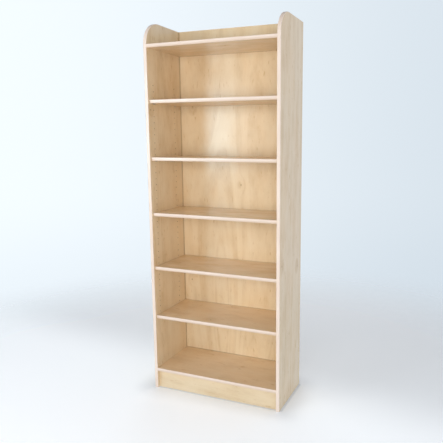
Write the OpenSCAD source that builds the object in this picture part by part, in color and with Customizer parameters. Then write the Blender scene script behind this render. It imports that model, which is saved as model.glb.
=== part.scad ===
// Tall bookcase with adjustable shelves.
// Two sides with a rounded top front corner hold a back panel in grooves, a fixed shelf near
// the top and a fixed bottom shelf on a recessed plinth. Five more shelves each lie on four
// pins, which push into rows of holes in the sides. The origin is on the floor, in the middle
// of the footprint. The open front faces -Y and +Z is up.

/* [Case] */
// Width over both sides
case_w = 752; // [600:1:1000]
// Depth of the sides, with their edge band
case_d = 344; // [300:1:400]
// Height of the sides
case_h = 2000; // [1950:1:2100]
// Thickness of every board but the back panel
board_t = 18; // [16:1:19]
// Radius of each side's top front corner
corner_r = 120; // [30:1:125]
// Thickness of the edge band, whose long edges are rounded by as much
band_t = 2; // [1:0.5:3]

/* [Back panel] */
// Thickness of the back panel
back_t = 8; // [6:1:10]
// Distance from the panel's rear face to the rear edges of the sides
back_inset = 5; // [3:1:15]
// Depth of the groove in each side
groove_depth = 8; // [6:1:10]
// Play of the panel in its grooves, on each side of it
groove_play = 0.2; // [0.1:0.1:0.4]

/* [Fixed shelves and plinth] */
// Drop from the top of the sides to the top shelf's upper face
top_drop = 118; // [100:1:150]
// Height of the plinth, which is the height of the bottom shelf's underside
plinth_h = 100; // [80:1:150]
// Distance that the plinth stands back from the front
plinth_recess = 20; // [5:1:30]

/* [Adjustable shelves] */
// Distance that the adjustable shelves stand back from the front
shelf_setback = 13; // [5:1:25]
// Gap between a shelf's end and the side
shelf_end_gap = 1; // [0.5:0.5:2]
// Gap between a shelf's rear edge and the back panel
shelf_back_gap = 1.5; // [0.5:0.5:3]
// Height of the pin holes that carry the lowest shelf
lowest_hole_z = 406; // [380:1:420]
// Rise from the lowest shelf to the one above it
lowest_rise = 280; // [265:1:300]
// Rise between the shelves above that
shelf_rise = 299; // [290:1:305]

/* [Pin holes] */
// Pitch of the holes, one step of shelf adjustment
hole_pitch = 32; // [25, 32]
// Steps that a shelf can move up
holes_above = 3; // [1:1:3]
// Steps that a shelf can move down, apart from the lowest shelf
holes_below = 5; // [1:1:5]
// Diameter of a pin hole
hole_d = 5; // [5, 6]
// Depth of a pin hole
hole_depth = 12; // [11:0.5:13]
// Distance from the front edge to the front row of holes
front_row = 51; // [37:1:70]
// Distance from the front edge to the rear row of holes
rear_row = 259; // [220:1:270]

/* [Shelf pins] */
// Diameter of a pin's head
pin_head_d = 7; // [7:0.5:9]
// Length of a pin's head, from the side inwards
pin_head_l = 10; // [8:0.5:14]
// Length of a pin's shank, inside its hole
pin_shank_l = 10; // [8:0.5:10.5]
// Play between a pin's shank and its hole, all round
pin_play = 0.05; // [0.02:0.01:0.1]
// Width of the turned chamfers on a pin
pin_chamfer = 0.6; // [0.3:0.1:0.8]

/* [Joints of the fixed boards] */
// Diameter of a cam lock
cam_d = 15; // [15:1:20]
// Distance from a board's end to the middle of a cam lock
cam_inset = 34; // [24:1:40]
// Diameter of a dowel
dowel_d = 8; // [6, 8]
// Length of a dowel
dowel_l = 30; // [28:1:35]
// Length of a back screw
screw_l = 25; // [20:1:30]

/* [Hidden] */
$fn = 48;
// Overrun of a cut past the face that it opens
over = 1;
// Play between a fixing and its hole, all round
fixing_play = 0.05;
// Slack past the end of a fixing in its hole
end_slack = 0.5;
// Distances from the front edge to the cam bolts and to the dowels at a fixed shelf's end
cam_rows = [70, 262];
dowel_rows = [110, 222];
// Heights of the dowels at each end of the plinth
plinth_end_dowels = [28, 68];
// Places across the width of the back screws and of the dowels in the plinth's top edge
fixing_x = [-250, 0, 250];

front = -case_d / 2;
rear = case_d / 2;
inner_w = case_w - 2 * board_t;
board_back = rear - back_inset - back_t;
plinth_y = front + plinth_recess + board_t / 2;

top_shelf_z = case_h - top_drop - board_t;
bottom_shelf_z = plinth_h;

// The shelves count down from 1 at the top
shelf_count = 5;
pin_seat = hole_d / 2;
shelf_w = inner_w - 2 * shelf_end_gap;
shelf_front = front + shelf_setback;
shelf_back = board_back - shelf_back_gap;
PIN_PLACES = ["front_left", "front_right", "rear_left", "rear_right"];

// Cam bolt: thread in the side, collar at the joint, neck and head in the board
bolt_thread_l = 11;
bolt_collar_d = 7.6;
bolt_collar_l = 3;
bolt_neck_d = 4.6;
bolt_head_d = 6.6;
bolt_head_l = 2.6;
bolt_bore_d = 8;
bolt_past_cam = 1.6;
bolt_end = cam_inset + bolt_past_cam;

// Cam lock: its pocket reaches just below the bolt's head, and it lies under the board's face
cam_floor_gap = 0.2;
cam_depth = board_t / 2 + bolt_head_d / 2 + cam_floor_gap;
cam_sink = 0.5;
cam_wall = 2.2;
cam_neck_slot = 5.4;
cam_head_slot = 7.6;
cross_l = 7;
cross_w = 1.4;
cross_depth = 2;

// Dowel: how far it reaches into the side, or up into the bottom shelf
dowel_reach = 12;
board_dowel_hole = dowel_l - dowel_reach + end_slack;
dowel_chamfer = 0.8;

// Countersunk screws that hold the back panel to the two fixed shelves
screw_d = 3.4;
screw_head_d = 7;
screw_head_l = 2.4;
screw_point = 4;
screw_tip_r = 0.2;
drive_l = 3.6;
drive_w = 0.9;
drive_depth = 1.3;

MAPLE = [0.84, 0.71, 0.53];
BACK_MAPLE = [0.87, 0.75, 0.58];
PLINTH_MAPLE = [0.88, 0.79, 0.63];
BAND = [0.96, 0.87, 0.79];
BEECH = [0.80, 0.62, 0.42];
STEEL = [0.75, 0.76, 0.78];
ZINC = [0.62, 0.62, 0.60];

// Height of the pin holes that carry shelf i
function shelf_hole_z(i) =
    i == shelf_count ? lowest_hole_z
                     : lowest_hole_z + lowest_rise + (shelf_count - 1 - i) * shelf_rise;

// Height of shelf i's underside, which lies on the flats of its pins
function shelf_z(i) = shelf_hole_z(i) + pin_seat;

// Heights of all the holes in one row: a group for each shelf
function hole_heights() =
    [for (i = [1:shelf_count])
        for (step = [(i == shelf_count ? 0 : -holes_below):holes_above])
            shelf_hole_z(i) + step * hole_pitch];

// Lays its child, drawn across (y, z), up from the YZ plane along +X
module along_x() {
    rotate([90, 0, 90]) children();
}

// Draws its child on the left, and its mirror image on the right
module both_ends() {
    children();
    mirror([1, 0, 0]) children();
}

// ---- Sides ----

// Outline of a side in (y, z), drawn in by inset at the front and the top
module side_outline(inset) {
    translate([front + corner_r, 0]) square([case_d - corner_r, case_h - inset]);
    translate([front + inset, 0]) square([case_d - inset, case_h - corner_r]);
    translate([front + corner_r, case_h - corner_r]) circle(corner_r - inset);
}

// Groove in the left side, milled from the floor to the top and through the band
module back_groove() {
    translate([-inner_w / 2 - groove_depth, board_back - groove_play, -over])
        cube([groove_depth + over, back_t + 2 * groove_play, case_h + 2 * over]);
}

// A hole into the left side's inner face
module side_hole(d, depth, row, z) {
    translate([-inner_w / 2 - depth, front + row, z])
        rotate([0, 90, 0]) cylinder(d = d, h = depth + over);
}

// All the holes in the left side
module side_holes() {
    for (row = [front_row, rear_row])
        for (z = hole_heights())
            side_hole(hole_d, hole_depth, row, z);
    for (z = [top_shelf_z, bottom_shelf_z]) {
        for (row = cam_rows)
            side_hole(hole_d, bolt_thread_l + end_slack, row, z + board_t / 2);
        for (row = dowel_rows)
            side_hole(dowel_d, dowel_reach + end_slack, row, z + board_t / 2);
    }
    for (z = plinth_end_dowels)
        side_hole(dowel_d, dowel_reach + end_slack, plinth_recess + board_t / 2, z);
}

module side_board() {
    color(MAPLE) difference() {
        translate([-case_w / 2, 0, 0])
            along_x() linear_extrude(board_t) side_outline(band_t);
        back_groove();
        side_holes();
    }
}

// Section of an edge band: x across the board's edge, y from the outer face inwards
module band_section() {
    translate([band_t, 0]) square([board_t - 2 * band_t, band_t]);
    for (x = [band_t, board_t - band_t])
        translate([x, band_t]) intersection() {
            circle(band_t);
            translate([-band_t, -band_t]) square([2 * band_t, band_t]);
        }
}

// Band of the left side: up the front, round the corner and back along the top
module side_band() {
    color(BAND) difference() {
        translate([-case_w / 2, 0, 0]) {
            translate([0, front, 0])
                linear_extrude(case_h - corner_r) band_section();
            translate([0, front + corner_r, case_h - corner_r])
                along_x() rotate([0, 0, 90]) rotate_extrude(angle = 90)
                    translate([corner_r, 0]) rotate(90) band_section();
            translate([0, front + corner_r, case_h])
                rotate([-90, 0, 0]) linear_extrude(case_d - corner_r) band_section();
        }
        back_groove();
    }
}

// ---- Boards between the sides ----

// A band along the front edge of a board of length l, at the front and height given
module board_band(l, y, z) {
    color(BAND) translate([-l / 2, y, z])
        along_x() linear_extrude(l) mirror([1, -1]) band_section();
}

// Holes at the left end of a fixed shelf whose underside is at z, its cams open at open_z
module shelf_end_holes(z, open_z) {
    for (row = cam_rows) {
        translate([-inner_w / 2 - over, front + row, z + board_t / 2])
            rotate([0, 90, 0]) cylinder(d = bolt_bore_d, h = cam_inset + over);
        cam_place(row, open_z) translate([0, 0, -cam_depth])
            cylinder(d = cam_d, h = cam_depth + over);
    }
    for (row = dowel_rows)
        translate([-inner_w / 2 - over, front + row, z + board_t / 2])
            rotate([0, 90, 0]) cylinder(d = dowel_d, h = board_dowel_hole + over);
}

module fixed_shelf(z, open_z) {
    color(MAPLE) difference() {
        translate([-inner_w / 2, front + band_t, z])
            cube([inner_w, board_back - front - band_t, board_t]);
        both_ends() shelf_end_holes(z, open_z);
        for (x = fixing_x)
            back_screw_place(x, z + board_t / 2)
                cylinder(d = screw_d + 2 * fixing_play, h = screw_l + end_slack);
    }
}

module top_shelf() {
    fixed_shelf(top_shelf_z, top_shelf_z + board_t);
}

// The bottom shelf also has the holes for the dowels that stand in the plinth
module bottom_shelf() {
    difference() {
        fixed_shelf(bottom_shelf_z, bottom_shelf_z);
        for (x = fixing_x)
            translate([x, plinth_y, plinth_h - over])
                cylinder(d = dowel_d, h = dowel_reach + end_slack + over);
    }
}

module plinth() {
    color(PLINTH_MAPLE) difference() {
        translate([-inner_w / 2, plinth_y - board_t / 2, 0])
            cube([inner_w, board_t, plinth_h]);
        both_ends() for (z = plinth_end_dowels)
            translate([-inner_w / 2 - over, plinth_y, z]) rotate([0, 90, 0])
                cylinder(d = dowel_d, h = board_dowel_hole + over);
        for (x = fixing_x)
            translate([x, plinth_y, plinth_h - board_dowel_hole])
                cylinder(d = dowel_d, h = board_dowel_hole + over);
    }
}

module back_panel() {
    w = inner_w + 2 * (groove_depth - end_slack);
    color(BACK_MAPLE) difference() {
        translate([-w / 2, board_back, plinth_h])
            cube([w, back_t, case_h - plinth_h]);
        for (x = fixing_x)
            for (z = [top_shelf_z, bottom_shelf_z])
                back_screw_place(x, z + board_t / 2) screw_body(fixing_play, over);
    }
}

module adjustable_shelf(i) {
    color(MAPLE) translate([-shelf_w / 2, shelf_front + band_t, shelf_z(i)])
        cube([shelf_w, shelf_back - shelf_front - band_t, board_t]);
}

// ---- Shelf pins ----

// A turned peg with its top milled flat, pointing along +X, with the side's face at x = 0
module pin_shape() {
    head_r = pin_head_d / 2;
    shank_r = hole_d / 2 - pin_play;
    color(STEEL) difference() {
        rotate([0, 90, 0]) {
            cylinder(r = head_r, h = pin_head_l - pin_chamfer);
            translate([0, 0, pin_head_l - pin_chamfer])
                cylinder(r1 = head_r, r2 = head_r - pin_chamfer, h = pin_chamfer);
            translate([0, 0, pin_chamfer - pin_shank_l])
                cylinder(r = shank_r, h = pin_shank_l);
            translate([0, 0, -pin_shank_l])
                cylinder(r1 = shank_r - pin_chamfer, r2 = shank_r, h = pin_chamfer);
        }
        translate([-over / 2, -head_r, pin_seat])
            cube([pin_head_l + over, pin_head_d, head_r]);
    }
}

// Shelf i's pin at one of the PIN_PLACES: the first two are at the front, and odd ones right
module shelf_pin(i, place) {
    y = front + (place < 2 ? front_row : rear_row);
    mirror([place % 2, 0, 0]) translate([-inner_w / 2, y, shelf_hole_z(i)]) pin_shape();
}

// ---- Cam locks, bolts, dowels and screws ----

// Puts its child at a cam lock of a left-hand end, with +Z pointing out of its pocket
module cam_place(row, open_z) {
    translate([-inner_w / 2 + cam_inset, front + row, open_z])
        rotate([open_z == bottom_shelf_z ? 180 : 0, 0, 0]) children();
}

// A cam lock, its face at z = 0, with a slot for the bolt's neck and a room for its head
module cam_lock() {
    axis_z = -board_t / 2;
    color(ZINC) difference() {
        translate([0, 0, -cam_depth])
            cylinder(r = cam_d / 2 - fixing_play, h = cam_depth - cam_sink);
        translate([-cam_d, -cam_neck_slot / 2, axis_z - cam_depth])
            cube([cam_d, cam_neck_slot, cam_depth + cam_neck_slot / 2]);
        translate([cam_wall - cam_d / 2, -cam_head_slot / 2, axis_z - cam_depth])
            cube([cam_d - 2 * cam_wall, cam_head_slot, cam_depth + cam_head_slot / 2]);
        for (turn = [0, 90])
            rotate(turn) translate([-cross_l / 2, -cross_w / 2, -cam_sink - cross_depth])
                cube([cross_l, cross_w, cross_depth + over]);
    }
}

module cam_locks(open_z) {
    both_ends() for (row = cam_rows)
        cam_place(row, open_z) cam_lock();
}

// A cam bolt along +X, with the side's inner face at x = 0
module cam_bolt() {
    color(STEEL) rotate([0, 90, 0]) {
        translate([0, 0, -bolt_thread_l])
            cylinder(r = hole_d / 2 - fixing_play, h = bolt_thread_l);
        cylinder(d = bolt_collar_d, h = bolt_collar_l);
        cylinder(d = bolt_neck_d, h = bolt_end);
        translate([0, 0, bolt_end - bolt_head_l]) cylinder(d = bolt_head_d, h = bolt_head_l);
    }
}

module cam_bolts(z) {
    both_ends() for (row = cam_rows)
        translate([-inner_w / 2, front + row, z + board_t / 2]) cam_bolt();
}

// A dowel along +Z, centred on its length, with chamfered ends
module dowel() {
    r = dowel_d / 2 - fixing_play;
    color(BEECH) for (end = [0, 1]) mirror([0, 0, end]) {
        cylinder(r = r, h = dowel_l / 2 - dowel_chamfer);
        translate([0, 0, dowel_l / 2 - dowel_chamfer])
            cylinder(r1 = r, r2 = r - dowel_chamfer, h = dowel_chamfer);
    }
}

// A dowel between the left side and a board's end
module end_dowel(y, z) {
    translate([-inner_w / 2 - dowel_reach + dowel_l / 2, y, z]) rotate([0, 90, 0]) dowel();
}

module shelf_dowels(z) {
    both_ends() for (row = dowel_rows)
        end_dowel(front + row, z + board_t / 2);
}

module plinth_dowels() {
    both_ends() for (z = plinth_end_dowels)
        end_dowel(plinth_y, z);
    for (x = fixing_x)
        translate([x, plinth_y, plinth_h + dowel_reach - dowel_l / 2]) dowel();
}

// Puts its child behind the back panel, pointing forwards along -Y
module back_screw_place(x, z) {
    translate([x, board_back + back_t, z]) rotate([90, 0, 0]) children();
}

// A countersunk screw's body, larger by play all round and run on outwards by extra
module screw_body(play, extra) {
    head_r = screw_head_d / 2 + play;
    shank_r = screw_d / 2 + play;
    translate([0, 0, -extra]) cylinder(r = head_r, h = extra);
    cylinder(r1 = head_r, r2 = shank_r, h = screw_head_l);
    cylinder(r = shank_r, h = screw_l - screw_point);
    translate([0, 0, screw_l - screw_point])
        cylinder(r1 = shank_r, r2 = screw_tip_r, h = screw_point);
}

module back_screws() {
    color(STEEL) for (x = fixing_x)
        for (z = [top_shelf_z, bottom_shelf_z])
            back_screw_place(x, z + board_t / 2) difference() {
                screw_body(0, 0);
                for (turn = [0, 90])
                    rotate(turn) translate([-drive_l / 2, -drive_w / 2, -over])
                        cube([drive_l, drive_w, drive_depth + over]);
            }
}

// ---- The nodes ----

side_board();  // side_left
mirror([1, 0, 0]) side_board();  // side_right
side_band();  // side_band_left
mirror([1, 0, 0]) side_band();  // side_band_right
back_panel();
top_shelf();
board_band(inner_w, front, top_shelf_z);  // top_shelf_band
bottom_shelf();
board_band(inner_w, front, bottom_shelf_z);  // bottom_shelf_band
plinth();
cam_locks(top_shelf_z + board_t);  // cam_locks_top
cam_locks(bottom_shelf_z);  // cam_locks_bottom
cam_bolts(top_shelf_z);  // cam_bolts_top
cam_bolts(bottom_shelf_z);  // cam_bolts_bottom
shelf_dowels(top_shelf_z);  // dowels_top
shelf_dowels(bottom_shelf_z);  // dowels_bottom
plinth_dowels();
back_screws();

for (i = [1:shelf_count]) {
    adjustable_shelf(i);
    board_band(shelf_w, shelf_front, shelf_z(i));
    for (p = [0:3])
        shelf_pin(i, p);
}
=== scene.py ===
# A tall maple bookcase with five adjustable shelves, in a pale studio.
# Every board, band, pin and fixing keeps its CAD shape and gets its finish here.
# Metres, +Z up, the open front faces -Y.
import math

import bpy
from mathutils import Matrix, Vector


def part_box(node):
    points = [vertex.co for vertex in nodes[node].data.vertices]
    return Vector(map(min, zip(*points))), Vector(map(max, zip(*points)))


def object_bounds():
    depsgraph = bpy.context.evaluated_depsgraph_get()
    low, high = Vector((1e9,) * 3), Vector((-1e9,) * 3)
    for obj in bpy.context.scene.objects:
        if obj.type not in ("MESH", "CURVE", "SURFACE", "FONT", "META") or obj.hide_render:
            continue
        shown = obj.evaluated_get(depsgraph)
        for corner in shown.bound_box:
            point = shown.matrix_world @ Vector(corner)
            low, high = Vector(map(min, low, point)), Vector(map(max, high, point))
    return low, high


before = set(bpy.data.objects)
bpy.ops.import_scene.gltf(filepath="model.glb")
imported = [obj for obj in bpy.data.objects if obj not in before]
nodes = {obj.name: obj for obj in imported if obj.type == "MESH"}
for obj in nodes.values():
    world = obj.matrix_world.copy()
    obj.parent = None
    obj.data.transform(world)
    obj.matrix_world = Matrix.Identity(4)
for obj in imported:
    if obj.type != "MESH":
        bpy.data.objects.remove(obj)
cad_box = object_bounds()
scene = bpy.context.scene

# ---- Node building ----

# The sockets of a Mix node that is set to colours
MIX_INPUTS = (0, 6, 7)
MIX_RESULT = 2


class Graph:
    """Adds nodes to one node tree and links them."""

    def __init__(self, tree):
        self.tree = tree
        tree.nodes.clear()

    def add(self, kind, inputs=None, **settings):
        """A new node with its settings, and its inputs by name or number."""
        node = self.tree.nodes.new(kind)
        for name, value in settings.items():
            setattr(node, name, value)
        for name, value in (inputs or {}).items():
            self.feed(node.inputs[name], value)
        return node

    def feed(self, socket, value):
        """Links an output to a socket, or sets the socket's own value."""
        if isinstance(value, bpy.types.NodeSocket):
            self.tree.links.new(value, socket)
        else:
            socket.default_value = value

    def math(self, operation, *values, clamp=False):
        """The result of a Math node on up to three values."""
        numbered = dict(enumerate(values))
        node = self.add("ShaderNodeMath", numbered, operation=operation, use_clamp=clamp)
        return node.outputs[0]

    def vector(self, x, y, z):
        """A vector from its three parts."""
        return self.add("ShaderNodeCombineXYZ", {0: x, 1: y, 2: z}).outputs[0]

    def scaled(self, vector, scale, shift=(0, 0, 0)):
        """A vector scaled along each axis, and then shifted."""
        inputs = {"Vector": vector, "Scale": scale, "Location": shift}
        return self.add("ShaderNodeMapping", inputs).outputs[0]

    def remap(self, value, low, high, to_low=0.0, to_high=1.0):
        """Maps low..high smoothly to to_low..to_high, and holds the ends."""
        inputs = {
            "Value": value,
            "From Min": low,
            "From Max": high,
            "To Min": to_low,
            "To Max": to_high,
        }
        node = self.add("ShaderNodeMapRange", inputs, interpolation_type="SMOOTHSTEP")
        return node.outputs["Result"]

    def mix(self, factor, a, b, blend="MIX"):
        """A mix of two colours."""
        inputs = dict(zip(MIX_INPUTS, (factor, a, b)))
        node = self.add("ShaderNodeMix", inputs, data_type="RGBA", blend_type=blend)
        return node.outputs[MIX_RESULT]

    def noise(self, vector, detail=2.0, roughness=0.5, scale=1.0):
        """Noise that mostly lies inside NOISE_SPAN."""
        inputs = {"Vector": vector, "Scale": scale, "Detail": detail, "Roughness": roughness}
        return self.add("ShaderNodeTexNoise", inputs).outputs["Fac"]

    def bump(self, height, distance):
        """The normal of a surface whose relief is that height times a distance in metres."""
        inputs = {"Height": height, "Distance": distance, "Strength": 1.0}
        return self.add("ShaderNodeBump", inputs).outputs[0]


def colour(r, g, b):
    """An opaque colour."""
    return (r, g, b, 1.0)


WHITE = colour(1.0, 1.0, 1.0)
# Where nearly all of a noise's values lie
NOISE_SPAN = (0.3, 0.7)
AXES = {"x": 0, "y": 1, "z": 2}


def new_material(name):
    """A new material, its graph, and the Principled shader that the graph starts with."""
    material = bpy.data.materials.new(name)
    material.use_nodes = True
    graph = Graph(material.node_tree)
    shader = graph.add("ShaderNodeBsdfPrincipled")
    output = graph.add("ShaderNodeOutputMaterial")
    graph.feed(output.inputs["Surface"], shader.outputs[0])
    return material, graph, shader


def dress(shader, graph, **inputs):
    """Sets or links a shader's inputs, whose spaces are written as underscores."""
    for name, value in inputs.items():
        graph.feed(shader.inputs[name.replace("_", " ")], value)


# ---- Maple ----

# The scale of each part of the figure, in features per metre across the grain, along it and
# through the board
KNOT_CELLS = (3.4, 2.3, 9.0)
HEART_DRIFT = (2.3, 0.22, 5.0)
RING_WOBBLE = (13.0, 1.6, 13.0)
FIBRES = (620.0, 11.0, 620.0)
FLECKS = (1100.0, 65.0, 1100.0)
MINERALS = (75.0, 17.0, 75.0)
MOTTLING = (16.0, 7.0, 16.0)
BLUSHES = (7.0, 2.4, 7.0)

# A cell has a knot if its draw is above this. Its eye and its pith reach these distances, in
# cells, from the middle
KNOT_DRAW = 0.62
EYE_REACH = 0.16
PITH_REACH = (0.004, 0.016)
PITH_STRENGTH = 0.8

# The tree's heart wanders sideways over at most this many metres, and lies at least the root
# of the second behind the board's face
HEART_WANDER = 0.55
HEART_DEPTH_SQUARED = 0.0012
# How much the trunk tapers over a metre, and how far a wobble and a knot push the rings
TAPER = 0.022
WOBBLE_SIZE = 0.012
KNOT_PUSH = 0.016
RINGS_PER_METRE = 85.0

# The spans of noise that make the flecks, the mineral streaks and the blushing patches
FLECK_SPAN = (0.62, 0.74)
MINERAL_SPAN = (0.62, 0.76)
BLUSH_SPAN = (0.38, 0.66)

# How strongly each part of the figure moves the tone
RING_TONE = 1.05
FIBRE_TONE = 0.35
MOTTLE_TONE = 0.75
FLECK_TONE = -0.14
MINERAL_TONE = -0.42
EYE_TONE = -0.22


def figure_group():
    """The figure of sliced maple at a place (across, along, depth) of the board, in metres.
    Tone goes from dark to light, Fibre is the fine texture, Knot marks the small knots, and
    Blush marks the pinker patches."""
    tree = bpy.data.node_groups.new("maple_figure", "ShaderNodeTree")
    tree.interface.new_socket("Place", in_out="INPUT", socket_type="NodeSocketVector")
    for name in ("Tone", "Fibre", "Knot", "Blush"):
        tree.interface.new_socket(name, in_out="OUTPUT", socket_type="NodeSocketFloat")
    g = Graph(tree)
    place = g.add("NodeGroupInput").outputs["Place"]
    _, along, depth = g.add("ShaderNodeSeparateXYZ", {0: place}).outputs

    # Knots: one in some cells of about 0.3 by 0.4 m, with the grain flowing round it
    cells = g.add(
        "ShaderNodeTexVoronoi",
        {"Vector": g.scaled(place, KNOT_CELLS), "Scale": 1.0},
        voronoi_dimensions="2D",
    )
    distance = cells.outputs["Distance"]
    lottery = g.add("ShaderNodeSeparateColor", {0: cells.outputs["Color"]}).outputs[0]
    chosen = g.math("GREATER_THAN", lottery, KNOT_DRAW)
    eye = g.math("MULTIPLY", chosen, g.remap(distance, 0.0, EYE_REACH, 1.0, 0.0))
    pith = g.math("MULTIPLY", chosen, g.remap(distance, *PITH_REACH, PITH_STRENGTH, 0.0))

    # Growth rings cut by the board's face: contours of the distance to the tree's heart. The
    # trunk tapers along the board, so they run as long arches between straight grain
    drift = g.noise(g.scaled(place, HEART_DRIFT), detail=1.0)
    offset = g.math("MULTIPLY", g.math("SUBTRACT", drift, 0.5), HEART_WANDER)
    squared = g.math("MULTIPLY_ADD", offset, offset, HEART_DEPTH_SQUARED)
    wobble = g.noise(g.scaled(place, RING_WOBBLE), detail=2.0)
    radius = g.math("SQRT", squared)
    radius = g.math("MULTIPLY_ADD", along, TAPER, radius)
    radius = g.math("MULTIPLY_ADD", wobble, WOBBLE_SIZE, radius)
    radius = g.math("MULTIPLY_ADD", eye, KNOT_PUSH, radius)
    ring_place = g.vector(g.math("MULTIPLY", radius, RINGS_PER_METRE), 0.0, depth)
    rings = g.noise(ring_place, detail=4.0, roughness=0.62)

    # Fibres, short flecks, sparse mineral streaks and the soft mottle of maple
    fibre = g.noise(g.scaled(place, FIBRES), detail=2.0, roughness=0.6)
    fleck = g.noise(g.scaled(place, FLECKS), detail=1.0)
    fleck = g.remap(fleck, *FLECK_SPAN)
    mineral = g.noise(g.scaled(place, MINERALS), detail=2.0, roughness=0.6)
    mineral = g.remap(mineral, *MINERAL_SPAN)
    mottle = g.noise(g.scaled(place, MOTTLING), detail=3.0, roughness=0.6)

    tone = g.math("MULTIPLY_ADD", g.math("SUBTRACT", rings, 0.5), RING_TONE, 0.5)
    tone = g.math("MULTIPLY_ADD", g.math("SUBTRACT", fibre, 0.5), FIBRE_TONE, tone)
    tone = g.math("MULTIPLY_ADD", g.math("SUBTRACT", mottle, 0.5), MOTTLE_TONE, tone)
    tone = g.math("MULTIPLY_ADD", fleck, FLECK_TONE, tone)
    tone = g.math("MULTIPLY_ADD", mineral, MINERAL_TONE, tone)
    tone = g.math("MULTIPLY_ADD", eye, EYE_TONE, tone, clamp=True)

    blush = g.noise(g.scaled(place, BLUSHES), detail=3.0, roughness=0.6)
    blush = g.remap(blush, *BLUSH_SPAN)

    outputs = g.add("NodeGroupOutput")
    g.feed(outputs.inputs["Tone"], tone)
    g.feed(outputs.inputs["Fibre"], g.math("SUBTRACT", fibre, g.math("MULTIPLY", fleck, 0.5)))
    g.feed(outputs.inputs["Knot"], pith)
    g.feed(outputs.inputs["Blush"], blush)
    return tree


FIGURE = figure_group()

# The print's colours, from its dark streaks to its light ones, each at its tone
MAPLE_STOPS = (
    (0.08, colour(0.66, 0.48, 0.27)),
    (0.5, colour(0.80, 0.64, 0.42)),
    (0.92, colour(0.86, 0.72, 0.51)),
)
KNOT_BROWN = colour(0.30, 0.18, 0.10)
CHIP_BROWN = colour(0.42, 0.29, 0.17)
CHIP_STRAW = colour(0.70, 0.55, 0.36)
# The painted shade inside the pin holes
HOLE_SHADE_BROWN = colour(0.10, 0.06, 0.035)
# The colour of the painted shade at the joints
JOINT_SHADE_BROWN = colour(0.34, 0.23, 0.13)
# Factors on the print's colours: in its blushing patches, and on a shelf, where it is painted
# light
BLUSH_WASH = colour(1.0, 0.965, 0.92)
SHELF_PAINTED_LIGHT = colour(1.075, 1.05, 1.07)

# The painted shade of a joint at its darkest
JOINT_DARKNESS = 0.52
# How far the print moves on across the grain over a metre of depth, and the share of that
# distance that it moves on along the grain
LAYER_STEP = 23.0
LAYER_SLIP = 0.7
# The print's roughness where its fibre noise is low and where it is high, and how much
# rougher a cut edge is
PRINT_ROUGHNESS = (0.27, 0.19)
CUT_ROUGHER = 0.55
# The relief of the print in metres, and how much higher the chips of a cut edge stand
PRINT_RELIEF = 0.00004
CHIP_RELIEF = 4.0
# The size of the chips in chipboard and in fibreboard, in metres, and the swirls per chip
CHIPBOARD = 0.003
FIBREBOARD = 0.0012
CHIP_SWIRLS = 0.6
# A printed face's normal has more than this share on the depth axis
FACE_NORMAL = 0.5
# A place this near a face, in metres, lies on it
ON_FACE = 0.0005


def core(g, place, chip):
    """The raw core of a board, with chips of about that size: their shade and height."""
    swirl_inputs = {"Vector": place, "Scale": CHIP_SWIRLS / chip, "Detail": 1.0}
    swirl = g.add("ShaderNodeTexNoise", swirl_inputs)
    shifted = g.add(
        "ShaderNodeVectorMath",
        {0: swirl.outputs["Color"], 1: (chip, chip, chip), 2: place},
        operation="MULTIPLY_ADD",
    )
    chips = g.add("ShaderNodeTexVoronoi", {"Vector": shifted.outputs[0], "Scale": 1.0 / chip})
    shade = g.add("ShaderNodeSeparateColor", {0: chips.outputs["Color"]}).outputs[0]
    return shade, chips.outputs["Distance"]


def inside(g, values, lows, highs):
    """1 where each value lies between its low and its high, and 0 elsewhere."""
    share = 1.0
    for value, low, high in zip(values, lows, highs):
        middle, half = (low + high) / 2, (high - low) / 2
        share = g.math("MULTIPLY", share, g.math("COMPARE", value, middle, half))
    return share


def joint_shade(g, values, lows, highs, reach):
    """How much painted shade darkens a place near a joint, by how near it lies to a face
    of a box whose faces are the joints."""
    nearest = reach
    for value, low, high in zip(values, lows, highs):
        for plane in (low, high):
            gap = g.math("ABSOLUTE", g.math("SUBTRACT", value, plane))
            nearest = g.math("MINIMUM", nearest, gap)
    return g.remap(nearest, 0.0, reach, JOINT_DARKNESS, 0.0)


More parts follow.
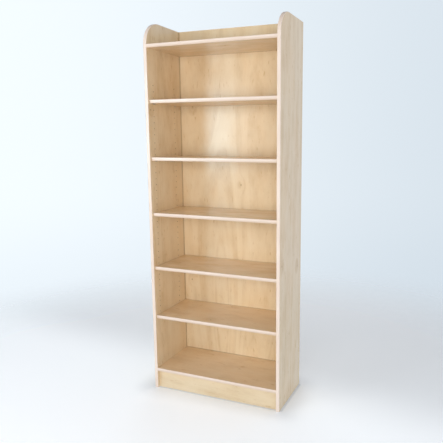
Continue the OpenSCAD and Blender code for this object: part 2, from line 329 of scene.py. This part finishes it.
def maple(
    name,
    across,
    along,
    depth,
    seed,
    chip=CHIPBOARD,
    drilled=None,
    joints=None,
    inner=None,
    light_wash=WHITE,
):
    """Maple-print melamine with its grain along one axis. The faces whose normal lies on the
    depth axis are print, and the cut edges show the core, whose chips have the size chip.
    drilled is the box, inside the board, whose surfaces are the walls of its pin holes, painted
    dark as shade.
    joints is the low and the high corner of a box whose faces are the board's joints, which
    get painted shade, and how far that reaches. inner is the depth of the one face that the
    painted shade shows on. light_wash is a factor on the print's colours, all but the knots',
    that paints light on them."""
    material, g, shader = new_material(name)
    coordinates = g.add("ShaderNodeTexCoord").outputs
    here = g.add("ShaderNodeSeparateXYZ", {0: coordinates["Object"]}).outputs
    # The two faces of a board lie at different depths, and get prints of their own
    layer = g.math("MULTIPLY", here[AXES[depth]], LAYER_STEP)
    place = g.vector(
        g.math("ADD", here[AXES[across]], g.math("ADD", layer, seed)),
        g.math("MULTIPLY_ADD", layer, LAYER_SLIP, here[AXES[along]]),
        seed,
    )
    figure = g.add("ShaderNodeGroup", {}, node_tree=FIGURE)
    g.feed(figure.inputs["Place"], place)
    tone, fibre, knot, blush = figure.outputs

    ramp = g.add("ShaderNodeValToRGB", {"Fac": tone})
    stops = ramp.color_ramp.elements
    stops.new(0.5)
    for stop, (position, tint) in zip(stops, MAPLE_STOPS):
        stop.position = position
        stop.color = tint
    printed = g.mix(blush, ramp.outputs[0], BLUSH_WASH, blend="MULTIPLY")
    # A shelf's print is made lighter here: painted light
    printed = g.mix(1.0, printed, light_wash, blend="MULTIPLY")
    printed = g.mix(knot, printed, KNOT_BROWN)

    chip_shade, chip_height = core(g, coordinates["Object"], chip)
    raw = g.mix(chip_shade, CHIP_BROWN, CHIP_STRAW)
    normal = g.add("ShaderNodeSeparateXYZ", {0: coordinates["Normal"]}).outputs[AXES[depth]]
    cut = g.math("LESS_THAN", g.math("ABSOLUTE", normal), FACE_NORMAL)

    rough = g.remap(fibre, *NOISE_SPAN, *PRINT_ROUGHNESS)
    rough = g.math("MULTIPLY_ADD", cut, CUT_ROUGHER, rough)
    height = g.math("MULTIPLY_ADD", g.math("MULTIPLY", cut, chip_height), CHIP_RELIEF, fibre)
    # Painted shade darkens the print near the board's joints
    if joints:
        shade = joint_shade(g, here, *joints)
        if inner is not None:
            on_inner = g.math("COMPARE", here[AXES[depth]], inner, ON_FACE)
            shade = g.math("MULTIPLY", shade, on_inner)
        printed = g.mix(shade, printed, JOINT_SHADE_BROWN)
    base = g.mix(cut, printed, raw)
    # The walls of the pin holes get painted shade, far darker than the raw core
    if drilled:
        base = g.mix(inside(g, here, *drilled), base, HOLE_SHADE_BROWN)
    dress(
        shader,
        g,
        Base_Color=base,
        Roughness=rough,
        Normal=g.bump(height, PRINT_RELIEF),
    )
    return material


# ---- Edge bands ----

BAND_ROSE = colour(0.85, 0.69, 0.57)
BAND_PALE = colour(0.92, 0.78, 0.67)
# The painted shade at a shelf band's lower edge
BAND_LOW_SHADE = colour(0.76, 0.60, 0.47)
# Streaks per metre across and along the band's grain, and clouds per metre
BAND_ACROSS = 420.0
BAND_ALONG = 9.0
BAND_CLOUDS = (7.0, 7.0, 7.0)
# Where the band goes from rose to pale, in the mean of its streaks and clouds
BAND_SPAN = (0.34, 0.66)
# Where a shelf's band starts and stops getting lighter upwards, as shares of its height: painted
# shade below
BAND_SHADE_FADE = (0.15, 0.7)
BAND_ROUGHNESS = (0.42, 0.32)
BAND_RELIEF = 0.00003


def edge_band(node, along, seed):
    """Satin ABS band in a pale tint, with a faint printed grain along one axis. A band whose
    grain runs along X is a shelf's, and gets painted shade towards its lower edge."""
    material, g, shader = new_material(f"finish_{node}")
    place = g.add("ShaderNodeTexCoord").outputs["Object"]
    stretch = [BAND_ACROSS, BAND_ACROSS, BAND_ACROSS]
    stretch[AXES[along]] = BAND_ALONG
    streaks = g.noise(g.scaled(place, stretch, (seed, seed, seed)), detail=3.0)
    cloud = g.noise(g.scaled(place, BAND_CLOUDS, (seed, 0, 0)), detail=2.0)
    tint = g.math("MULTIPLY_ADD", cloud, 0.5, g.math("MULTIPLY", streaks, 0.5))
    tint = g.remap(tint, *BAND_SPAN)
    base = g.mix(tint, BAND_ROSE, BAND_PALE)
    # A shelf's band is painted darker towards its lower edge, as shade
    if along == "x":
        low, high = (corner.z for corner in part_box(node))
        fade = [low + share * (high - low) for share in BAND_SHADE_FADE]
        height = g.add("ShaderNodeSeparateXYZ", {0: place}).outputs[AXES["z"]]
        base = g.mix(g.remap(height, *fade, 1.0, 0.0), base, BAND_LOW_SHADE)
    dress(
        shader,
        g,
        Base_Color=base,
        Roughness=g.remap(streaks, *NOISE_SPAN, *BAND_ROUGHNESS),
        Normal=g.bump(streaks, BAND_RELIEF),
    )
    return material


# ---- Metal and beech ----

# Blooms per metre. They are this dark and this much rougher, and the steel between them is
# this much smoother. Their noise adds to the relief at this strength, beside the turning
# marks' strength of 1
STEEL_BLOOMS = 900.0
BLOOM_SHADE = 0.82
BLOOM_ROUGHER = 0.08
BETWEEN_SMOOTHER = 0.04
BLOOM_HEIGHT = 0.6
STEEL_RELIEF = 0.00001


def turned_steel(name, base, roughness, pitch):
    """Plated steel with fine turning marks that repeat along X, the axis of the pins and the
    cam bolts, and with duller blooms."""
    material, g, shader = new_material(name)
    place = g.add("ShaderNodeTexCoord").outputs["Object"]
    x = g.add("ShaderNodeSeparateXYZ", {0: place}).outputs[AXES["x"]]
    rings = g.math("SINE", g.math("MULTIPLY", x, math.tau / pitch))
    bloom = g.noise(place, detail=3.0, scale=STEEL_BLOOMS)
    dull = colour(*(BLOOM_SHADE * part for part in base))
    dress(
        shader,
        g,
        Base_Color=g.mix(g.remap(bloom, *NOISE_SPAN), dull, colour(*base)),
        Metallic=1.0,
        Roughness=g.remap(
            bloom,
            *NOISE_SPAN,
            roughness + BLOOM_ROUGHER,
            roughness - BETWEEN_SMOOTHER,
        ),
        Normal=g.bump(g.math("MULTIPLY_ADD", bloom, BLOOM_HEIGHT, rings), STEEL_RELIEF),
    )
    return material


ZINC_BLOTCHES = 350.0
ZINC_GRIT = 2600.0
ZINC_DARK = colour(0.44, 0.44, 0.43)
ZINC_LIGHT = colour(0.60, 0.60, 0.59)
ZINC_ROUGHNESS = (0.52, 0.40)
ZINC_RELIEF = 0.00003


def cast_zinc():
    """Matt die-cast zinc, a little blotchy."""
    material, g, shader = new_material("cast_zinc")
    place = g.add("ShaderNodeTexCoord").outputs["Object"]
    blotch = g.noise(place, detail=3.0, scale=ZINC_BLOTCHES)
    grit = g.noise(place, detail=1.0, scale=ZINC_GRIT)
    dress(
        shader,
        g,
        Base_Color=g.mix(g.remap(blotch, *NOISE_SPAN), ZINC_DARK, ZINC_LIGHT),
        Metallic=1.0,
        Roughness=g.remap(blotch, *NOISE_SPAN, *ZINC_ROUGHNESS),
        Normal=g.bump(grit, ZINC_RELIEF),
    )
    return material


# Fibres and flecks per metre, along X, the axis of most of the dowels, and across it
BEECH_FIBRES = (90.0, 900.0, 900.0)
BEECH_FLECKS = (420.0, 2100.0, 2100.0)
BEECH_FLECK_SPAN = (0.60, 0.68)
BEECH_DARK = colour(0.55, 0.36, 0.20)
BEECH_LIGHT = colour(0.70, 0.50, 0.31)
BEECH_FLECK = colour(0.33, 0.19, 0.10)
BEECH_ROUGHNESS = (0.72, 0.60)
BEECH_RELIEF = 0.00005


def turned_beech():
    """Unfinished beech with short dark flecks."""
    material, g, shader = new_material("turned_beech")
    place = g.add("ShaderNodeTexCoord").outputs["Object"]
    fibre = g.noise(g.scaled(place, BEECH_FIBRES), detail=3.0)
    fleck = g.noise(g.scaled(place, BEECH_FLECKS), detail=1.0)
    fleck = g.remap(fleck, *BEECH_FLECK_SPAN)
    pale = g.mix(g.remap(fibre, *NOISE_SPAN), BEECH_DARK, BEECH_LIGHT)
    dress(
        shader,
        g,
        Base_Color=g.mix(fleck, pale, BEECH_FLECK),
        Roughness=g.remap(fibre, *NOISE_SPAN, *BEECH_ROUGHNESS),
        Normal=g.bump(fibre, BEECH_RELIEF),
    )
    return material


# ---- Finishes on the CAD nodes ----

SHELVES = range(1, 6)
PIN_PLACES = ("front_left", "front_right", "rear_left", "rear_right")

# How far a side's hole zone keeps from its faces, its front edge and the fixed shelves
SKIN = Vector((0.0005, 0.002, 0.002))
# A face of a joint box that is this far away is no joint
FAR = 9.0
# How far the painted shade at the joints reaches into a board, in metres. It is more on the
# sides, whose inner faces the camera sees at a flat angle
BACK_JOINT = 0.005
SHELF_JOINT = 0.009
SIDE_JOINT = 0.016


def finish_node(name, material):
    """Gives a CAD node its one material."""
    mesh = nodes[name].data
    mesh.materials.clear()
    mesh.materials.append(material)


def hole_zone(name):
    """The box inside a side board that holds its pin holes: clear of its two faces, its
    edges, the groove behind them and the fixings at its top and bottom."""
    low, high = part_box(name)
    groove_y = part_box("back_panel")[0].y
    bottom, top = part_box("bottom_shelf")[1].z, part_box("top_shelf")[0].z
    return (
        Vector((low.x, low.y, bottom)) + SKIN,
        Vector((high.x, groove_y, top)) - SKIN,
    )


def rear_joint(y, reach):
    """The joint box of a board whose only painted joint shade is at its rear."""
    return (-FAR, -FAR, -FAR), (FAR, y, FAR), reach


def finish_side(name, inner, seed):
    """A side board with its grain upright, its pin holes, and painted shade at the joint with the
    back.
    """
    joints = rear_joint(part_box("back_panel")[0].y, SIDE_JOINT)
    zone = hole_zone(name)
    board = maple(f"maple_{name}", "y", "z", "x", seed, drilled=zone, joints=joints, inner=inner)
    finish_node(name, board)


def finish_back(inner_left, inner_right):
    """The back panel, with its grain upright and painted shade at its joints with the sides and
    the bottom.
    """
    low = (inner_left, -FAR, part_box("bottom_shelf")[1].z)
    joints = (low, (inner_right, FAR, FAR), BACK_JOINT)
    finish_node("back_panel", maple("maple_back", "x", "z", "y", 2.2, FIBREBOARD, joints=joints))


def finish_shelf(name, seed):
    """A shelf board, whose grain runs from side to side, whose print is a little lighter with
    painted light, and which has painted shade at its rear joint.
    """
    joints = rear_joint(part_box(name)[1].y, SHELF_JOINT)
    board = maple(f"maple_{name}", "y", "x", "z", seed, joints=joints, light_wash=SHELF_PAINTED_LIGHT)
    finish_node(name, board)


def finish_band(name, along, seed):
    """A band whose grain runs along that axis."""
    finish_node(name, edge_band(name, along, seed))


left_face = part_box("side_left")[1].x
right_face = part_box("side_right")[0].x
finish_side("side_left", left_face, 1.3)
finish_side("side_right", right_face, 4.1)
finish_back(left_face, right_face)
finish_shelf("top_shelf", 5.7)
finish_shelf("bottom_shelf", 7.9)
finish_node("plinth", maple("maple_plinth", "z", "x", "y", 9.4))
finish_band("side_band_left", "z", 1.0)
finish_band("side_band_right", "z", 2.0)
finish_band("top_shelf_band", "x", 3.0)
finish_band("bottom_shelf_band", "x", 4.0)
for i in SHELVES:
    finish_shelf(f"shelf_{i}", 10.0 + 1.7 * i)
    finish_band(f"shelf_band_{i}", "x", 5.0 + i)

nickel = turned_steel("nickel_plated_steel", (0.74, 0.73, 0.70), roughness=0.26, pitch=0.00035)
bright = turned_steel("zinc_plated_steel", (0.68, 0.69, 0.71), roughness=0.32, pitch=0.0008)
zinc = cast_zinc()
beech = turned_beech()
for i in SHELVES:
    for place in PIN_PLACES:
        finish_node(f"shelf_pin_{i}_{place}", nickel)
for name in ("cam_bolts_top", "cam_bolts_bottom", "back_screws"):
    finish_node(name, bright)
for name in ("cam_locks_top", "cam_locks_bottom"):
    finish_node(name, zinc)
for name in ("dowels_top", "dowels_bottom", "plinth_dowels"):
    finish_node(name, beech)

# ---- The studio ----

# Half the side of the floor
FLOOR_HALF = 3.2
# The floor lies this far below the feet, so that no faces coincide
FLOOR_DROP = 0.0005
# The distances from the middle at which the floor starts and ends fading out
FLOOR_FADE = (1.3, 3.0)
FLOOR_COLOURS = (colour(0.84, 0.86, 0.88), colour(0.86, 0.88, 0.90))
FLOOR_GLOW_TINT = colour(0.93, 0.97, 1.0)
FLOOR_CLOUDS = 14.0
FLOOR_ROUGHNESS = 0.55
# The floor's own glow, which paints its light: full in front of the bookcase and lower in the
# painted soft shadow behind it, and the direction that counts as behind, with where the glow
# starts and ends falling
FLOOR_GLOW = (0.40, 0.21)
BEHIND = (0.12, 1.0, 0.0)
GLOW_FALL = (-0.12, 0.5)
# Half the size of the bookcase's footprint, up to the plinth in front. The last number is
# above the whole floor, so that height doesn't count
FOOTPRINT = (cad_box[1].x, -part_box("plinth")[0].y, 1.0)
# How far the painted soft shade round the footprint reaches, and what is left of the glow in it
SHADE_REACH = (-0.03, 0.16)
SHADE_GLOW = 0.35
# How far the painted contact shadow at the foot reaches, its strength and its colour
CONTACT_REACH = (0.004, 0.022)
CONTACT_STRENGTH = 0.45
CONTACT_SHADOW_GREY = colour(0.30, 0.31, 0.33)


def make_floor():
    """A pale floor that fades into the studio's own light far from the bookcase. Its glow paints
    its light, with painted shadow behind and round the bookcase.
    """
    mesh = bpy.data.meshes.new("floor")
    corners = [(-1, -1), (1, -1), (1, 1), (-1, 1)]
    height = cad_box[0].z - FLOOR_DROP
    points = [(x * FLOOR_HALF, y * FLOOR_HALF, height) for x, y in corners]
    mesh.from_pydata(points, [], [(0, 1, 2, 3)])
    floor = bpy.data.objects.new("floor", mesh)
    scene.collection.objects.link(floor)
    material, g, shader = new_material("studio_floor")
    place = g.add("ShaderNodeTexCoord").outputs["Object"]
    far = g.add("ShaderNodeVectorMath", {0: place}, operation="LENGTH").outputs["Value"]
    clouds = g.remap(g.noise(place, detail=3.0, scale=FLOOR_CLOUDS), *NOISE_SPAN)
    behind = g.add("ShaderNodeVectorMath", {0: place, 1: BEHIND}, operation="DOT_PRODUCT")
    glow = g.remap(behind.outputs["Value"], *GLOW_FALL, *FLOOR_GLOW)
    # How far a point of the floor is from the bookcase's footprint
    away = g.add("ShaderNodeVectorMath", {0: place}, operation="ABSOLUTE").outputs[0]
    away = g.add("ShaderNodeVectorMath", {0: away, 1: FOOTPRINT}, operation="SUBTRACT").outputs[0]
    away = g.add("ShaderNodeVectorMath", {0: away, 1: (0, 0, 0)}, operation="MAXIMUM").outputs[0]
    away = g.add("ShaderNodeVectorMath", {0: away}, operation="LENGTH").outputs["Value"]
    # Painted shade round the footprint, and a painted contact shadow at its foot
    glow = g.math("MULTIPLY", glow, g.remap(away, *SHADE_REACH, SHADE_GLOW, 1.0))
    contact = g.remap(away, *CONTACT_REACH, CONTACT_STRENGTH, 0.0)
    dress(
        shader,
        g,
        Base_Color=g.mix(contact, g.mix(clouds, *FLOOR_COLOURS), CONTACT_SHADOW_GREY),
        Roughness=FLOOR_ROUGHNESS,
        Emission_Color=FLOOR_GLOW_TINT,
        Emission_Strength=glow,
    )
    clear = g.add("ShaderNodeBsdfTransparent")
    mixed = g.add(
        "ShaderNodeMixShader",
        {0: g.remap(far, *FLOOR_FADE), 1: shader.outputs[0], 2: clear.outputs[0]},
    )
    output = next(n for n in material.node_tree.nodes if n.type == "OUTPUT_MATERIAL")
    g.feed(output.inputs["Surface"], mixed.outputs[0])
    mesh.materials.append(material)
    floor.visible_diffuse = False


# The side that the studio is bright on, and where it goes from dim to bright, as the cosine
# of the angle to it
BRIGHT_SIDE = (-0.91, -0.41, 0.0)
BRIGHT_TURN = (-0.6, 0.5)
# What the camera sees of the studio on its dim side, on its bright side and below
SEEN_DIM_SIDE = colour(0.68, 0.76, 0.83)
SEEN_BRIGHT_SIDE = colour(0.93, 1.0, 1.05)
SEEN_BELOW = colour(0.40, 0.50, 0.60)
BELOW_TURN = (-0.32, -0.08)
BELOW_STRENGTH = 0.16
# The light that the studio sheds from its dim side, from its bright side and from above
SHED_DIM_SIDE = colour(0.77, 0.80, 0.88)
SHED_BRIGHT_SIDE = colour(0.36, 0.38, 0.40)
SHED_ABOVE = colour(0.12, 0.13, 0.14)
ABOVE_TURN = (0.1, 0.9)
ABOVE_STRENGTH = 0.75


def make_world():
    """A studio that looks brighter towards the left and the front. The light it sheds comes
    mostly from the other side, where there are few lamps, and little of it from above."""
    world = bpy.data.worlds.new("studio")
    world.use_nodes = True
    scene.world = world
    g = Graph(world.node_tree)
    direction = g.add("ShaderNodeTexCoord").outputs["Generated"]
    facing = g.add("ShaderNodeVectorMath", {0: direction, 1: BRIGHT_SIDE}, operation="DOT_PRODUCT")
    share = g.remap(facing.outputs["Value"], *BRIGHT_TURN)
    height = g.add("ShaderNodeSeparateXYZ", {0: direction}).outputs[AXES["z"]]
    below = g.remap(height, *BELOW_TURN, BELOW_STRENGTH, 0.0)
    seen = g.mix(below, g.mix(share, SEEN_DIM_SIDE, SEEN_BRIGHT_SIDE), SEEN_BELOW)
    above = g.remap(height, *ABOVE_TURN, 0.0, ABOVE_STRENGTH)
    shed = g.mix(above, g.mix(share, SHED_DIM_SIDE, SHED_BRIGHT_SIDE), SHED_ABOVE)
    first = g.add("ShaderNodeLightPath").outputs["Is Camera Ray"]
    sky = g.mix(first, shed, seen)
    background = g.add("ShaderNodeBackground", {"Color": sky, "Strength": 1.0})
    output = g.add("ShaderNodeOutputWorld")
    g.feed(output.inputs["Surface"], background.outputs[0])


def area_light(name, place, target, size, watts, tint=(1.0, 1.0, 1.0), mirrored=False):
    """A soft box that the camera doesn't see. A mirrored one only shows in reflections, and
    any other only lights what it shines on."""
    light = bpy.data.lights.new(name, "AREA")
    light.shape = "RECTANGLE"
    light.size, light.size_y = size
    light.energy = watts
    light.color = tint
    box = bpy.data.objects.new(name, light)
    box.location = place
    box.rotation_euler = (Vector(target) - Vector(place)).to_track_quat("-Z", "Y").to_euler()
    box.visible_camera = False
    box.visible_diffuse = not mirrored
    box.visible_glossy = mirrored
    scene.collection.objects.link(box)


MIDDLE = (0, 0, 1.0)
COOL = (0.95, 0.98, 1.0)
# The streak lamp makes the light band that the back panel mirrors
STREAK_TARGET = (0, 0.159, 1.45)
STREAK_TINT = (0.70, 1.0, 1.15)

make_floor()
make_world()
area_light("key", (1.1, -4.0, 1.35), MIDDLE, (3.0, 1.8), 89.0)
area_light("window", (-2.4, -3.0, 1.6), MIDDLE, (1.6, 1.6), 36.0)
area_light("top", (0, -0.4, 4.4), (0, -0.4, 0), (3.5, 3.5), 6.0)
area_light("rear", (-1.6, 3.6, 1.8), MIDDLE, (2.4, 2.4), 34.0, COOL)
area_light("streak", (-1.4, -2.0, 1.46), STREAK_TARGET, (0.7, 0.86), 15.0, STREAK_TINT, True)

# ---- Camera ----

# In front and to the right, at seven tenths of the height. Its angles are in degrees, its
# lens and sensor in millimetres
CAMERA_PLACE = (1.2060, -2.4768, 1.3981)
CAMERA_TILT = 80.844
CAMERA_TURN = 21.549
CAMERA_LENS = 41.33
CAMERA_SENSOR = 36.0
CAMERA_SHIFT = -0.0973

camera = bpy.data.objects.new("camera", bpy.data.cameras.new("camera"))
camera.location = CAMERA_PLACE
camera.rotation_euler = (math.radians(CAMERA_TILT), 0.0, math.radians(CAMERA_TURN))
camera.data.sensor_width = CAMERA_SENSOR
camera.data.lens = CAMERA_LENS
camera.data.shift_x = CAMERA_SHIFT
scene.collection.objects.link(camera)
scene.camera = camera

scene.view_settings.view_transform = "Standard"
scene.view_settings.look = "None"
